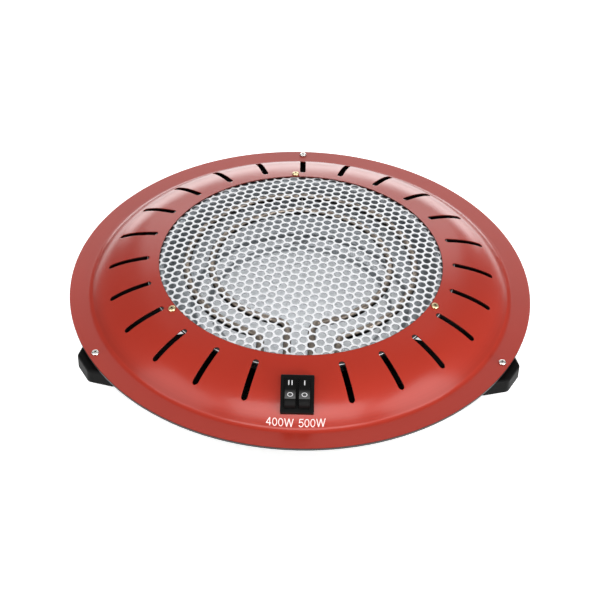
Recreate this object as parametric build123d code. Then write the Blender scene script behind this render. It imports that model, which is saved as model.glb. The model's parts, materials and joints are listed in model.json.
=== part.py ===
from build123d import *
import math
import os

# Electric brazier: a round low heater that stands on three feet under a table.
# Millimetres, +Z up, floor at z = 0, switch at the front (-Y).

os.makedirs("parts", exist_ok=True)

# Overall
rim_radius = 195.0
rim_width = 18.0
rim_top = 45.0
clearance = 0.05

# Top cover, pressed sheet steel
cover_sheet = 0.8
open_radius = 119.0
dome_rise = 26.0
shoulder = 0.45
shoulder_power = 3.45
fold_round = 7.0
edge_round = 0.3

# Radial slots of the cover
slot_places = 24
slot_inner_radius = 127.6
slot_outer_radius = 162.5
slot_width = 5.0

# Grille, perforated and domed sheet
grille_sheet = 0.8
grille_dome_radius = 125.8
grille_flange_radius = 129.5
grille_rise = 9.0
hole_pitch = 8.0
hole_radius = 3.3
hole_rows_turn = 20.0
holed_radius = 122.1

# Reflector, bright aluminium dish
reflector_sheet = 0.6
dish_depth = 25.0
disc_radius = 75.5
step_rise = 3.0
ring_radius = 90.5
wall_foot_radius = 94.0
wall_foot_rise = 5.1
wall_head_radius = 117.2
reflector_lip_reach = 1.2
reflector_lip_rise = 0.5
reflector_flange_radius = 130.0
grille_room = 0.35

# Base pan, black sheet steel
pan_sheet = 0.8
pan_floor_height = 9.0
pan_floor_radius = 139.0
pan_radius = 167.0
pan_corner_height = 25.0
pan_edge_radius = 194.6
pan_edge_low = 42.0
vent_inner_radius = 96.0
vent_outer_radius = 126.0
vent_width = 4.0
vent_count = 11
vent_first = -15.0
vent_step = 21.0

# Heating elements, metal sheathed tubes
tube_radius = 3.25
element_rise = 20.0
loop_radius_400w = 75.0
loop_radius_500w = 96.0
leg_offset_400w = 9.8
leg_offset_500w = 31.0
loop_to_leg_radius = 12.0
leg_dip_radius = 40.0
leg_dip = 9.0
leg_end_y = -121.0
bead_radius = 2.9
bead_length = 2.0
stud_radius = 1.5
stud_length = 6.0
tube_clearance = 0.15

# Plate that carries the legs, outside the dish wall
leg_plate_sheet = 0.8
leg_plate_low = 53.5
leg_plate_high = 66.2
leg_plate_half_angle = 25.0
leg_rivet_angle = 21.0
leg_rivet_height = 57.5

# Saddle that carries both loops at the back
saddle_sheet = 0.8
saddle_foot_inner = 80.0
saddle_foot_outer = 89.5
saddle_foot_width = 16.0
saddle_top_margin = 5.0
saddle_end = 5.5
saddle_taper = 6.0
saddle_tip_rise = 1.0

# Rivets
rivet_radius = 1.2
rivet_head_radius = 2.3
rivet_head_height = 0.9

# Screws through the rim into the feet
rim_screw_radius = 189.1
rim_screw_angles = (90.0, 210.0, 330.0)
rim_screw_head_radius = 3.1
rim_screw_head_height = 2.0
rim_screw_shank_radius = 1.75
rim_screw_length = 14.0
screw_hole_clearance = 0.3

# Screws that hold grille and reflector to the cover
grille_screw_radius = 123.1
grille_screw_turn = 3.0
grille_screw_head_radius = 3.1
grille_screw_head_height = 1.9
grille_screw_shank_radius = 1.45
grille_screw_length = 7.0
small_nut_flats = 5.5
small_nut_height = 2.2

# Feet, moulded plastic
foot_centre_radius = 174.9
foot_apothem = 26.0
foot_round = 5.5
foot_lug_low = 28.0
foot_lug_high = 40.6
foot_pad_centre_radius = 143.0
foot_pad_apothem = 15.0
foot_pad_round = 4.0
foot_edge_round = 2.5
foot_seat_outer = 193.0
pilot_depth = 1.0

# Double rocker switch
switch_radius = 153.7
switch_offset = -0.65
bezel_width = 26.0
bezel_length = 31.8
bezel_height = 1.9
bezel_round = 0.9
body_width = 22.9
body_length = 28.6
body_depth = 16.0
cutout_margin = 0.2
rocker_spacing = 11.0
rocker_width = 8.2
rocker_side_clearance = 0.2
rocker_arc_radius = 13.2
rocker_mouth_clearance = 0.2
rocker_throw = 16.0
rocker_pivot_depth = 3.4
rocker_middle_height = 7.7
rocker_end_y = 10.17
rocker_end_height = 8.41
rocker_skirt_angle = 6.0
rocker_wall = 1.2
pivot_radius = 1.5
pivot_length = 0.75
pivot_clearance = 0.05
plunger_radius = 1.7
plunger_reach = 10.3
cell_floor = 1.5

# Contacts inside the switch, in brass
bar_pivot_above_floor = 2.2
bar_half_length = 8.0
bar_width = 4.0
bar_thickness = 0.8
bar_knuckle_radius = 0.9
bar_tilt = 8.0
bar_room_y = 9.2
bar_room_height = 6.0
tab_width = 4.8
tab_thickness = 0.8
tab_length = 8.0
contact_y = -8.0
contact_width = 3.0
contact_reach = 3.0
contact_gap = 0.45
button_radius = 1.3
button_height = 0.2
button_inset = 1.6
snap_lug_width = 6.0
snap_lug_reach = 0.7
snap_lug_height = 3.0
snap_lug_gap = 0.35

# Thermal cut-out on the dish wall
cutout_angle = -52.0
cutout_height = 44.0
cutout_body_radius = 8.0
cutout_body_length = 9.0
cutout_ear_length = 28.0
cutout_ear_width = 7.0
cutout_ear_sheet = 0.8
cutout_rivet_offset = 11.5
cutout_rivet_room = 1.75
cutout_stand_off = 0.75
cutout_tab_spacing = 8.0
cutout_tab_width = 5.0

# Terminal block on the pan floor
block_angle = -110.0
block_radius = 122.0
block_length = 32.0
block_width = 15.0
block_height = 13.0
block_screw_offset = 4.8
block_screw_length = 17.5
pole_spacing = 9.6
pole_height = 5.8
pole_radius = 2.2
pole_bore_radius = 1.2
pole_screw_radius = 1.3
pole_screw_sunk = 2.0
pole_slit_width = 0.5
pole_slit_depth = 0.8
pole_well_room = 0.3

# Earth screw through the pan floor
earth_angle = -96.0
earth_radius = 128.0
earth_screw_radius = 1.95
earth_head_radius = 3.6
earth_head_height = 2.2
earth_length = 10.0
earth_nut_flats = 7.0
earth_nut_height = 3.0

# Cord bush in the pan wall
bush_angle = -110.0
bush_height = 34.0
bush_radius = 6.2
bush_flange_radius = 8.4
bush_flange = 2.5
bush_collar_radius = 7.0
bush_collar = 2.5
bush_collar_room = 0.25
bush_bore_radius = 3.6

# Leads, their ring tags and push-on connectors
lead_radius = 1.0
lead_bend = 3.5
wire_radius = 0.6
ring_thickness = 0.8
ring_radius_outer = 3.0
ring_neck_width = 2.4
ring_neck_length = 2.5
ring_lead_start = 0.8
ring_lead_run = 8.0
connector_crimp = 2.5
connector_margin = 0.75
connector_gap = 1.2


def polar(radius, angle, height=0.0):
    a = math.radians(angle)
    return Vector(radius * math.cos(a), radius * math.sin(a), height)


def outline_face(points):
    """Flat face of a closed outline in (radius, height), standing in the XZ plane."""
    return Plane.XZ * make_face(Polyline(*points, close=True))


def turned(face, degrees=360.0):
    return revolve(face, Axis.Z, degrees)


def sheet_outline(line, thickness):
    """Closed outline of a bent sheet: its other face lies a thickness to the line's right."""
    sides = []
    for (x0, y0), (x1, y1) in zip(line, line[1:]):
        run = math.hypot(x1 - x0, y1 - y0)
        sides.append(((y1 - y0) / run, (x0 - x1) / run))
    back = []
    for i, (x, y) in enumerate(line):
        before = sides[max(i - 1, 0)]
        after = sides[min(i, len(sides) - 1)]
        scale = thickness / (1 + before[0] * after[0] + before[1] * after[1])
        back.append((x + (before[0] + after[0]) * scale, y + (before[1] + after[1]) * scale))
    return list(line) + back[::-1]


def cylinder_at(plane, radius, low, high):
    base = Plane(plane.origin + plane.z_dir * low, x_dir=plane.x_dir, z_dir=plane.z_dir)
    return Solid.make_cylinder(radius, high - low, base)


def box_at(plane, x0, x1, y0, y1, z0, z1):
    box = Box(x1 - x0, y1 - y0, z1 - z0, align=(Align.MIN, Align.MIN, Align.MIN))
    return plane * Pos(x0, y0, z0) * box


def across(shape, width):
    """Extrude an outline drawn in (y, z) to a width, centred on x = 0."""
    return extrude(Plane.YZ * shape, width / 2, both=True)


# Shape of the cover

def dome_share(radius):
    return max(0.0, (radius - open_radius) / (fold_radius - open_radius))


def cover_top(radius):
    t = dome_share(radius)
    return rim_top + dome_rise * (1 - shoulder * t - (1 - shoulder) * t**shoulder_power)


def cover_slope(radius):
    """Angle, in radians, by which the cover falls towards the rim."""
    t = dome_share(radius)
    fall = shoulder + (1 - shoulder) * shoulder_power * t**(shoulder_power - 1)
    return math.atan(fall * dome_rise / (fold_radius - open_radius))


def cover_plane(radius, angle):
    """Frame on the cover's top face: z outwards, y up the slope."""
    slope = cover_slope(radius)
    normal = polar(math.sin(slope), angle, math.cos(slope))
    along = polar(1.0, angle + 90)
    return Plane(polar(radius, angle, cover_top(radius)), x_dir=along, z_dir=normal)


fold_radius = rim_radius - rim_width
seat_drop = cover_sheet / math.cos(cover_slope(grille_flange_radius)) + clearance
grille_flange_drop = grille_sheet / math.cos(cover_slope(grille_flange_radius))
reflector_drop = seat_drop + grille_flange_drop + grille_room
grille_seat = cover_top(grille_dome_radius) - seat_drop
reflector_floor = rim_top - dish_depth
element_height = rim_top + element_rise
pan_flange_top = rim_top - cover_sheet - clearance
pan_flange_low = pan_flange_top - pan_sheet
grille_screw_angles = [angle + grille_screw_turn for angle in rim_screw_angles]
switch_slope = cover_plane(switch_radius, -90.0)
switch_plane = Plane(switch_slope.origin + Vector(switch_offset, 0, 0), x_dir=switch_slope.x_dir,
                     z_dir=switch_slope.z_dir)


def screw(plane, head_radius, head_height, shank_radius, length):
    """Pan head screw with a cross recess, its head seated on the plane."""
    head = cylinder_at(plane, head_radius, 0.0, head_height)
    circles = head.edges().filter_by(GeomType.CIRCLE)
    top_edge = max(circles, key=lambda e: plane.to_local_coords(e.center()).Z)
    head = fillet([top_edge], head_height * 0.6)
    shank = cylinder_at(plane, shank_radius, -length, 0.0)
    recess_width = head_radius * 0.24
    recess_reach = head_radius * 0.5
    recess_floor = head_height * 0.45
    cross = box_at(plane, -recess_reach, recess_reach, -recess_width / 2, recess_width / 2,
                   recess_floor, head_height + 1)
    cross += box_at(plane, -recess_width / 2, recess_width / 2, -recess_reach, recess_reach,
                    recess_floor, head_height + 1)
    return (head + shank) - cross


def nut(plane, flats, height, bore_radius, top):
    hexagon = RegularPolygon(flats / 2, 6, major_radius=False)
    blank = plane * Pos(0, 0, top - height) * extrude(hexagon, height)
    return blank - cylinder_at(plane, bore_radius, top - height - 1, top + 1)


def rivet(plane, grip):
    """Rivet with a head below the plane and its other head a grip above it."""
    under = cylinder_at(plane, rivet_head_radius, -clearance - rivet_head_height, -clearance)
    shank = cylinder_at(plane, rivet_radius, -rivet_head_height, grip + rivet_head_height)
    over = cylinder_at(plane, rivet_head_radius, grip + clearance, grip + clearance + rivet_head_height)
    return under + shank + over


# Top cover

def top_cover():
    steps = 8
    upper = []
    lower = []
    for i in range(steps + 1):
        radius = open_radius + (fold_radius - open_radius) * i / steps
        slope = cover_slope(radius)
        height = cover_top(radius)
        upper.append((radius, height))
        lower.append((radius - cover_sheet * math.sin(slope), height - cover_sheet * math.cos(slope)))
    flat_low = rim_top - cover_sheet
    meet = lower[-1][0] + (lower[-1][1] - flat_low) / math.tan(cover_slope(fold_radius))
    dome = Spline(*upper)
    under = Spline(*lower)
    rim = Polyline(upper[-1], (rim_radius, rim_top), (rim_radius, flat_low), (meet, flat_low), lower[-1])
    edge = Line(lower[0], upper[0])
    shell = turned(Plane.XZ * make_face([dome, rim, under, edge]))
    for radius, height, rounding in ((rim_radius, rim_top, edge_round), (fold_radius, rim_top, fold_round),
                                     (meet, flat_low, fold_round + cover_sheet)):
        corner = [e for e in shell.edges().filter_by(GeomType.CIRCLE)
                  if abs(e.radius - radius) < 0.01 and abs(e.center().Z - height) < 0.01]
        shell = fillet(corner, rounding)
    tools = []
    middle = (slot_inner_radius + slot_outer_radius) / 2
    slot = extrude(SlotOverall(slot_outer_radius - slot_inner_radius, slot_width), rim_top + dome_rise)
    for place in range(slot_places):
        angle = 360.0 * place / slot_places
        if abs(angle - 270.0) > 1.0:
            tools.append(Rot(0, 0, angle) * Pos(middle, 0, rim_top / 2) * slot)
    half_x = body_width / 2 + cutout_margin
    half_y = body_length / 2 + cutout_margin
    tools.append(box_at(switch_plane, -half_x, half_x, -half_y, half_y, -body_depth, body_depth))
    for angle in grille_screw_angles:
        frame = cover_plane(grille_screw_radius, angle)
        tools.append(cylinder_at(frame, grille_screw_shank_radius + screw_hole_clearance, -5, 5))
    for angle in rim_screw_angles:
        frame = Plane(polar(rim_screw_radius, angle, rim_top))
        tools.append(cylinder_at(frame, rim_screw_shank_radius + screw_hole_clearance, -3, 3))
    return shell - tools


# Grille

def grille_holes():
    row_rise = hole_pitch * math.sqrt(3) / 2
    reach = int(grille_dome_radius / row_rise) + 2
    keep_off = hole_radius + grille_screw_shank_radius + 2 * screw_hole_clearance
    screws = [polar(grille_screw_radius, angle) for angle in grille_screw_angles]
    centres = []
    for row in range(-reach, reach + 1):
        for step in range(-reach, reach + 1):
            x = (step + (row % 2) / 2) * hole_pitch
            spot = Vector(x, row * row_rise, 0).rotate(Axis.Z, hole_rows_turn)
            near_screw = min((spot - screw_spot).length for screw_spot in screws) < keep_off
            if spot.length < holed_radius and not near_screw:
                centres.append(spot)
    return centres


def grille():
    outer = (grille_dome_radius**2 + grille_rise**2) / (2 * grille_rise)
    inner = outer - grille_sheet
    centre = Vector(0, 0, grille_seat + grille_rise - outer)
    ball_frame = Plane(centre, x_dir=(0, 0, -1), z_dir=(1, 0, 0))
    drum = Solid.make_cylinder(grille_dome_radius, rim_top + dome_rise, Plane((0, 0, rim_top)))
    cap = drum & Solid.make_sphere(outer, ball_frame, -90, 90, 360)
    cap = cap - Solid.make_sphere(inner, ball_frame, -90, 90, 360)
    cap_low = centre.Z + (inner**2 - grille_dome_radius**2)**0.5
    flange_line = [(grille_dome_radius, grille_seat), (grille_flange_radius,
                   cover_top(grille_flange_radius) - seat_drop)]
    flange = [flange_line[0], flange_line[1],
              (flange_line[1][0], flange_line[1][1] - grille_flange_drop), (grille_dome_radius, cap_low)]
    blank = Solid(cap.fuse(turned(outline_face(flange)).solid()).wrapped)
    openings = {outer: [], inner: []}
    walls = []
    low = math.sqrt(inner**2 - hole_radius**2)
    high = math.sqrt(outer**2 - hole_radius**2)
    for spot in grille_holes():
        out = Vector(spot.X, spot.Y, math.sqrt(outer**2 - spot.length**2)).normalized()
        tube = Solid.make_cylinder(hole_radius, high - low, Plane(centre + out * low, z_dir=out))
        walls += tube.faces().filter_by(GeomType.CYLINDER)
        openings[inner].append(Wire([Edge.make_circle(hole_radius, Plane(centre + out * low, z_dir=out))]))
        openings[outer].append(Wire([Edge.make_circle(hole_radius, Plane(centre + out * high, z_dir=out))]))
    caps = blank.faces().filter_by(GeomType.SPHERE).sort_by(Axis.Z)
    rest = [face for face in blank.faces() if face.geom_type != GeomType.SPHERE]
    skin = [caps[0].make_holes(openings[inner]), caps[-1].make_holes(openings[outer])]
    sheet = Solid(Shell(skin + rest + walls))
    holes = [cylinder_at(cover_plane(grille_screw_radius, angle),
                         grille_screw_shank_radius + screw_hole_clearance, -5, 5)
             for angle in grille_screw_angles]
    return sheet.cut(*holes)


# Reflector

def wall_radius(height):
    """Radius of the dish wall's inner face."""
    low = reflector_floor + wall_foot_rise
    share = (height - low) / (reflector_wall_top - low)
    return wall_foot_radius + (wall_head_radius - wall_foot_radius) * share


def wall_lean():
    """Angle, in radians, by which the dish wall leans outwards."""
    rise = reflector_wall_top - reflector_floor - wall_foot_rise
    return math.atan((wall_head_radius - wall_foot_radius) / rise)


def wall_plane(angle, height):
    """Frame on the dish wall's inner face: z outwards through the wall, x along the ring."""
    lean = wall_lean()
    normal = polar(math.cos(lean), angle, -math.sin(lean))
    return Plane(polar(wall_radius(height), angle, height), x_dir=polar(1.0, angle + 90), z_dir=normal)


reflector_lip_radius = wall_head_radius + reflector_lip_reach
reflector_wall_top = cover_top(reflector_lip_radius) - reflector_drop - reflector_lip_rise


def leg_frames():
    """One frame at each leg's end: z out along the leg."""
    frames = {}
    dip = math.radians(leg_dip)
    for loop, offset in ((loop_radius_400w, leg_offset_400w), (loop_radius_500w, leg_offset_500w)):
        bend_y = -math.sqrt((loop + loop_to_leg_radius)**2 - (offset + loop_to_leg_radius)**2)
        start_y = bend_y - leg_dip_radius * math.sin(dip)
        start_z = element_height - leg_dip_radius * (1 - math.cos(dip))
        end_z = start_z - (start_y - leg_end_y) * math.tan(dip)
        for side in (-1, 1):
            spot = Vector(side * offset, leg_end_y, end_z)
            frames[(loop, side)] = Plane(spot, x_dir=(1, 0, 0), z_dir=(0, -math.cos(dip), -math.sin(dip)))
    return frames


def leg_tools():
    return [cylinder_at(frame, tube_radius + tube_clearance, -25, 3) for frame in leg_frames().values()]


def reflector():
    floor = reflector_floor + reflector_sheet
    line = [
        (0.0, floor),
        (disc_radius, floor),
        (disc_radius + step_rise, floor + step_rise),
        (ring_radius, floor + step_rise),
        (wall_foot_radius, reflector_floor + wall_foot_rise),
        (wall_head_radius, reflector_wall_top),
        (reflector_lip_radius, cover_top(reflector_lip_radius) - reflector_drop),
        (reflector_flange_radius, cover_top(reflector_flange_radius) - reflector_drop),
    ]
    dish = turned(outline_face(sheet_outline(line, reflector_sheet)))
    tools = leg_tools()
    for angle in grille_screw_angles:
        frame = cover_plane(grille_screw_radius, angle)
        tools.append(cylinder_at(frame, grille_screw_shank_radius + screw_hole_clearance, -6, 6))
    for frame in leg_rivet_planes() + cutout_rivet_planes():
        tools.append(cylinder_at(frame, rivet_radius + clearance, -3, 3))
    for frame in saddle_rivet_planes():
        tools.append(cylinder_at(frame, rivet_radius + clearance, -3, 3))
    return dish - tools


def leg_rivet_planes():
    return [wall_plane(-90 + side * leg_rivet_angle, leg_rivet_height) for side in (-1, 1)]


def cutout_rivet_planes():
    frame = wall_plane(cutout_angle, cutout_height)
    planes = []
    for side in (-1, 1):
        spot = frame.origin + frame.x_dir * (side * cutout_rivet_offset)
        planes.append(wall_plane(math.degrees(math.atan2(spot.Y, spot.X)), cutout_height))
    return planes


def saddle_rivet_planes():
    """Frames of the two rivets, one each side of the upright plate."""
    middle = (saddle_foot_inner + saddle_foot_outer) / 2
    height = reflector_floor + reflector_sheet + step_rise
    side = saddle_sheet / 4 + saddle_foot_width / 4
    return [Plane((x, middle, height)) for x in (-side, side)]


# Heating elements

def element(loop, offset):
    """Sheathed tube: two legs from the front and a round loop."""
    bend = loop_to_leg_radius
    dip = math.radians(leg_dip)
    frames = leg_frames()
    bend_x = offset + bend
    bend_y = -math.sqrt((loop + bend)**2 - bend_x**2)
    touch = Vector(bend_x, bend_y, 0) * (loop / (loop + bend)) + Vector(0, 0, element_height)
    top = Vector(offset, bend_y, element_height)
    centre = Vector(bend_x, bend_y, element_height)
    mid = centre + ((top - centre).normalized() + (touch - centre).normalized()).normalized() * bend
    low = top + Vector(0, -leg_dip_radius * math.sin(dip), -leg_dip_radius * (1 - math.cos(dip)))
    low_mid = top + Vector(0, -leg_dip_radius * math.sin(dip / 2), -leg_dip_radius * (1 - math.cos(dip / 2)))
    back = Vector(0, loop, element_height)
    flank_angle = (math.degrees(math.atan2(touch.Y, touch.X)) + 90.0) / 2
    flank = polar(loop, flank_angle, element_height)
    end = frames[(loop, 1)].origin

    def other(spot):
        return Vector(-spot.X, spot.Y, spot.Z)

    half = [
        Edge.make_line(end, low),
        Edge.make_three_point_arc(low, low_mid, top),
        Edge.make_three_point_arc(top, mid, touch),
        Edge.make_three_point_arc(touch, flank, back),
    ]
    rest = [
        Edge.make_three_point_arc(back, other(flank), other(touch)),
        Edge.make_three_point_arc(other(touch), other(mid), other(top)),
        Edge.make_three_point_arc(other(top), other(low_mid), other(low)),
        Edge.make_line(other(low), frames[(loop, -1)].origin),
    ]
    path = Wire(half + rest)
    section = Plane(path @ 0, z_dir=path % 0) * Circle(tube_radius)
    return sweep(section, path=path)


def element_beads(loop):
    beads = []
    for side in (-1, 1):
        frame = leg_frames()[(loop, side)]
        bead = cylinder_at(frame, bead_radius, 0.0, bead_length)
        beads.append(bead - cylinder_at(frame, stud_radius + clearance, -1.0, bead_length + 1.0))
    return beads


def element_studs(loop):
    return [cylinder_at(leg_frames()[(loop, side)], stud_radius, 0.0, bead_length + stud_length)
            for side in (-1, 1)]


def leg_plate():
    lean = wall_lean()
    gap = reflector_sheet + clearance
    line = []
    for height in (leg_plate_low, leg_plate_high):
        line.append((wall_radius(height) + gap * math.cos(lean), height - gap * math.sin(lean)))
    strip = turned(outline_face(sheet_outline(line, leg_plate_sheet)), 2 * leg_plate_half_angle)
    strip = Rot(0, 0, -90 - leg_plate_half_angle) * strip
    tools = leg_tools()
    tools += [cylinder_at(frame, rivet_radius + clearance, -3, 4) for frame in leg_rivet_planes()]
    return strip - tools


def leg_rivets():
    return [rivet(frame, reflector_sheet + clearance + leg_plate_sheet) for frame in leg_rivet_planes()]


def saddle():
    """Upright plate with two open notches for the loops, and a foot riveted to the dish's ring."""
    base = reflector_floor + reflector_sheet + step_rise + clearance
    inner = loop_radius_400w - saddle_end
    outer = loop_radius_500w + saddle_end
    shoulder_height = element_height - tube_radius - saddle_top_margin
    top = element_height + saddle_tip_rise
    profile = make_face(Polyline(
        (saddle_foot_inner, base),
        (saddle_foot_outer, base),
        (saddle_foot_outer, shoulder_height - saddle_taper),
        (outer, shoulder_height),
        (outer, top),
        (inner, top),
        (inner, shoulder_height),
        (saddle_foot_inner, shoulder_height - saddle_taper),
        close=True))
    plate = across(profile, saddle_sheet)
    foot = box_at(Plane.XY, -saddle_foot_width / 2, saddle_foot_width / 2,
                  saddle_foot_inner, saddle_foot_outer, base, base + saddle_sheet)
    notch = tube_radius + tube_clearance
    tools = []
    for loop in (loop_radius_400w, loop_radius_500w):
        along = Plane((0, loop, element_height), x_dir=(0, 1, 0), z_dir=(1, 0, 0))
        tools.append(cylinder_at(along, notch, -5, 5))
        tools.append(box_at(Plane.XY, -5, 5, loop - notch, loop + notch, element_height, top + 1))
    tools += [cylinder_at(frame, rivet_radius + clearance, -3, 3) for frame in saddle_rivet_planes()]
    return (plate + foot) - tools


def saddle_rivets():
    return [rivet(Plane(frame.origin - Vector(0, 0, reflector_sheet), x_dir=frame.x_dir),
                  reflector_sheet + clearance + saddle_sheet) for frame in saddle_rivet_planes()]


# Base pan

def pan_line():
    return [
        (0.0, pan_floor_height + pan_sheet),
        (pan_floor_radius, pan_floor_height + pan_sheet),
        (pan_radius - pan_sheet, pan_corner_height),
        (pan_radius - pan_sheet, pan_flange_top),
        (pan_edge_radius, pan_flange_top),
        (pan_edge_radius, pan_edge_low),
    ]


def base_pan():
    pan = turned(outline_face(sheet_outline(pan_line(), pan_sheet)))
    tools = []
    middle = (vent_inner_radius + vent_outer_radius) / 2
    vent = extrude(SlotOverall(vent_outer_radius - vent_inner_radius, vent_width), pan_floor_height * 2)
    for i in range(vent_count):
        tools.append(Rot(0, 0, vent_first + vent_step * i) * Pos(middle, 0, 0) * vent)
    for angle in rim_screw_angles:
        frame = Plane(polar(rim_screw_radius, angle, rim_top))
        tools.append(cylinder_at(frame, rim_screw_shank_radius + screw_hole_clearance, -5, 5))
    tools.append(cylinder_at(bush_plane(), bush_radius + clearance, -5, 5))
    fixing_radius = grille_screw_shank_radius + screw_hole_clearance
    tools.append(cylinder_at(block_fixing_plane(), fixing_radius, -5, 5))
    tools.append(cylinder_at(earth_plane(), earth_screw_radius + screw_hole_clearance, -5, 5))
    return pan - tools


def pan_room():
    """Space that the pan and its wall need, cut from each foot."""
    wall = pan_radius + tube_clearance
    return turned(outline_face([
        (0.0, pan_floor_height - tube_clearance),
        (pan_floor_radius + pan_sheet, pan_floor_height - tube_clearance),
        (wall, pan_corner_height - pan_sheet),
        (wall, rim_top),
        (0.0, rim_top),
    ]))


# Feet

def octagon(apothem, rounding):
    reach = apothem / math.cos(math.radians(22.5))
    corners = []
    for i in range(8):
        turn = math.radians(22.5 + 45.0 * i)
        corners.append((reach * math.cos(turn), reach * math.sin(turn)))
    face = make_face(Polyline(*corners, close=True))
    return fillet(face.vertices(), rounding)


def foot(angle):
    """Moulded foot: a lug under the rim and a leg that leans in to its pad."""
    lug_shape = octagon(foot_apothem, foot_round)
    pad_shape = octagon(foot_pad_apothem, foot_pad_round)
    lug = Pos(foot_centre_radius, 0, foot_lug_low) * extrude(lug_shape, foot_lug_high - foot_lug_low)
    rounded = [e for e in lug.edges() if e.center().Z > foot_lug_high - 0.01]
    lug = fillet(rounded, foot_edge_round)
    leg = loft([Pos(foot_pad_centre_radius, 0, 0) * pad_shape,
                Pos(foot_centre_radius, 0, foot_lug_low) * lug_shape], ruled=True)
    seat_top = pan_flange_low - clearance
    seat = Pos(foot_centre_radius, 0, foot_lug_low) * extrude(
        octagon(foot_apothem - foot_edge_round, foot_round), seat_top - foot_lug_low)
    seat = seat & Solid.make_cylinder(foot_seat_outer, rim_top)
    pilot = Plane(Vector(rim_screw_radius, 0, rim_top))
    pilot_end = rim_screw_length + pilot_depth
    body = (lug + leg + seat) - pan_room()
    body = body - cylinder_at(pilot, rim_screw_shank_radius + clearance, -pilot_end, 1.0)
    return Rot(0, 0, angle) * body


def rim_screws():
    return [screw(Plane(polar(rim_screw_radius, angle, rim_top), x_dir=polar(1.0, angle + 20)),
                  rim_screw_head_radius, rim_screw_head_height, rim_screw_shank_radius, rim_screw_length)
            for angle in rim_screw_angles]


def grille_screws():
    return [screw(cover_plane(grille_screw_radius, angle), grille_screw_head_radius,
                  grille_screw_head_height, grille_screw_shank_radius, grille_screw_length)
            for angle in grille_screw_angles]


def grille_nuts():
    slope = cover_slope(grille_screw_radius)
    top = -(reflector_drop + reflector_sheet + 2 * clearance) * math.cos(slope) - clearance
    return [nut(cover_plane(grille_screw_radius, angle), small_nut_flats, small_nut_height,
                grille_screw_shank_radius + clearance, top) for angle in grille_screw_angles]


# Switch

def rocker_x(side):
    return side * rocker_spacing / 2


pivot_height = bezel_height - rocker_pivot_depth


def rocker_plane(side, tilt):
    """Frame at a rocker's pivot, turned by its tilt about the pivot."""
    spot = switch_plane.from_local_coords(Vector(rocker_x(side), 0, pivot_height))
    a = math.radians(tilt)
    out = switch_plane.z_dir * math.cos(a) - switch_plane.y_dir * math.sin(a)
    return Plane(spot, x_dir=switch_plane.x_dir, z_dir=out)


def rocker(side):
    """Rocker with its I end pressed and its O end raised, as the photographed one rests."""
    reach = rocker_arc_radius
    skirt = math.radians(rocker_skirt_angle)
    corner = (rocker_end_y, rocker_end_height)
    foot_spot = (reach * math.cos(skirt), -reach * math.sin(skirt))
    middle = (math.atan2(corner[1], corner[0]) - skirt) / 2
    bulge = (reach * math.cos(middle), reach * math.sin(middle))
    top = Polyline((-corner[0], corner[1]), (0.0, rocker_middle_height), corner)
    right = ThreePointArc(corner, bulge, foot_spot)
    low = Line(foot_spot, (-foot_spot[0], foot_spot[1]))
    left = ThreePointArc((-foot_spot[0], foot_spot[1]), (-bulge[0], bulge[1]), (-corner[0], corner[1]))
    block = across(make_face([top, right, low, left]), rocker_width)
    roof = rocker_middle_height - rocker_wall
    room_y = corner[0] - rocker_wall
    room = Box(rocker_width - 2 * rocker_wall, 2 * room_y, roof + reach,
               align=(Align.CENTER, Align.CENTER, Align.MAX))
    block = block - Pos(0, 0, roof) * room
    pins = cylinder_at(Plane.YZ, pivot_radius, -rocker_width / 2 - pivot_length,
                       rocker_width / 2 + pivot_length)
    stem_radius = plunger_radius + rocker_wall / 2
    stem = cylinder_at(Plane.XY, stem_radius, -plunger_reach * 0.6, rocker_middle_height - 0.5)
    tip = cylinder_at(Plane.XY, plunger_radius, -plunger_reach + plunger_radius, 0.0)
    ball = Pos(0, 0, -plunger_reach + plunger_radius) * Sphere(plunger_radius)
    return rocker_plane(side, -rocker_throw) * (block + pins + stem + tip + ball)


def cover_body():
    """Everything below the cover's top face near the switch, to shape the bezel's underside."""
    points = []
    reach = bezel_length
    for i in range(9):
        radius = switch_radius - reach + 2 * reach * i / 8
        radius = min(radius, fold_radius)
        points.append((radius, cover_top(radius) + clearance))
        if radius == fold_radius:
            break
    top = Spline(*points)
    box = Polyline(points[-1], (points[-1][0], 0.0), (points[0][0], 0.0), points[0])
    return turned(Plane.XZ * make_face([top, box]))


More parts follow.
